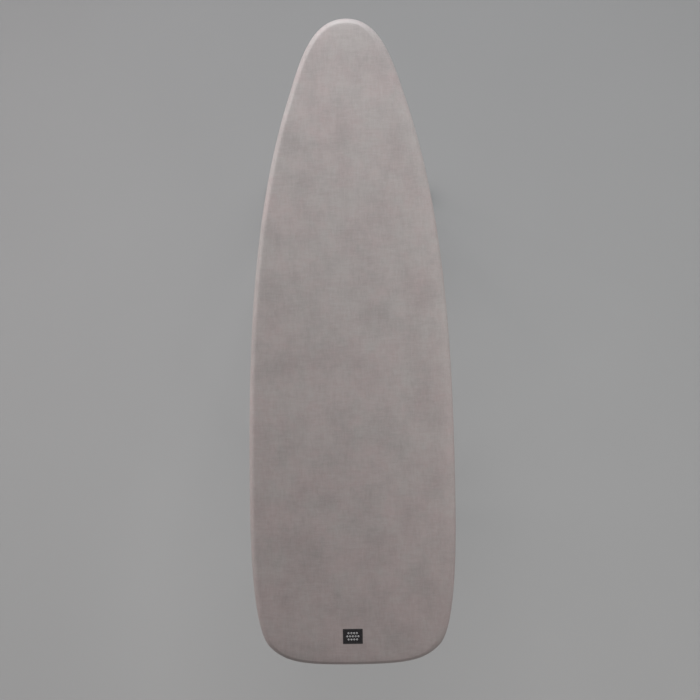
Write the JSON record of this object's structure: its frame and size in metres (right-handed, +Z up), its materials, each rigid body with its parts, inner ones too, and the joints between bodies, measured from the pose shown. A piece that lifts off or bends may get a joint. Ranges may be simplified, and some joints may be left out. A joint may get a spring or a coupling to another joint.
{
  "type": "ironing board",
  "caption": "Folding ironing board with a tapered padded top in a drawcord cover, on a height-adjusting scissor stand.",
  "frame": {"origin": "on the floor, under the middle of the board", "axes": "+Y along the board towards its nose, +Z up, +X to the release lever's side"},
  "size_m": [0.43, 1.35, 0.93],
  "materials": {
    "cover_fabric": "metallised woven cotton, satin",
    "label_fabric": "woven label, matt",
    "hem_cord": "braided drawcord",
    "pad_felt": "needled felt",
    "mesh_paint": "powder coat on expanded mesh",
    "frame_paint": "powder coat, satin",
    "leg_paint": "powder coat, satin",
    "zinc": "zinc plated",
    "spring_steel": "oiled spring steel",
    "black_plastic": "fine moulded texture"
  },
  "bodies": {
    "board": {"board_rim": "frame_paint", "mesh_top": "mesh_paint", "ironing_pad": "pad_felt", "cover": "cover_fabric", "cover_label": "label_fabric", "hem_cord": "hem_cord", "brace_front": "frame_paint", "brace_middle": "frame_paint", "brace_rear": "frame_paint", "rail_left": "frame_paint", "rail_right": "frame_paint", "lever_ear_front": "frame_paint", "lever_ear_rear": "frame_paint", "pivot_axle": "zinc", "axle_cap_left": "zinc", "axle_cap_right": "zinc", "lever_spring": "spring_steel", "rail_rivet_front_left": "zinc", "rail_rivet_front_right": "zinc", "rail_rivet_middle_left": "zinc", "rail_rivet_middle_right": "zinc", "rail_rivet_rear_left": "zinc", "rail_rivet_rear_right": "zinc"},
    "rear_leg": {"rear_leg_tube_left": "leg_paint", "rear_leg_tube_right": "leg_paint", "rear_foot_bar": "leg_paint", "rear_leg_brace": "leg_paint", "rear_foot_cap_left": "black_plastic", "rear_foot_cap_right": "black_plastic", "rear_leg_plug_left": "black_plastic", "rear_leg_plug_right": "black_plastic", "rear_pivot_bush_left": "black_plastic", "rear_pivot_bush_right": "black_plastic", "cross_pin_left": "zinc", "cross_pin_right": "zinc", "cross_washer_left": "black_plastic", "cross_washer_right": "black_plastic"},
    "front_leg": {"front_leg_tube_left": "leg_paint", "front_leg_tube_right": "leg_paint", "front_foot_bar": "leg_paint", "front_leg_brace": "leg_paint", "front_foot_cap_left": "black_plastic", "front_foot_cap_right": "black_plastic", "front_leg_plug_left": "black_plastic", "front_leg_plug_right": "black_plastic", "slide_bar": "zinc", "slide_glide_left": "black_plastic", "slide_glide_right": "black_plastic", "slide_cap_left": "zinc", "slide_cap_right": "zinc"},
    "release_lever": {"lever_shaft": "zinc", "keeper_strip": "zinc", "lever_grip": "black_plastic", "lever_clip": "spring_steel"}
  },
  "joints": [
    {"name": "leg_fold", "type": "hinge", "parent": "board", "child": "rear_leg", "pos_m": [0, 0.225, 0.87], "axis": [-1, 0, 0], "range_deg": [0, 52.5]},
    {"name": "leg_cross", "type": "hinge", "parent": "rear_leg", "child": "front_leg", "pos_m": [0, -0.01011, 0.54639], "axis": [-1, 0, 0], "range_deg": [-105, 0]},
    {"name": "lever_squeeze", "type": "hinge", "parent": "board", "child": "release_lever", "pos_m": [0.085, -0.4, 0.86], "axis": [0, -1, 0], "range_deg": [0, 8], "stiffness_Nm_per_rad": 1, "springref_deg": -8.59, "deforming": ["lever_spring"]}
  ],
  "couplings": [
    {"joint": "leg_cross", "follows": "leg_fold", "ratio": -2}
  ]
}
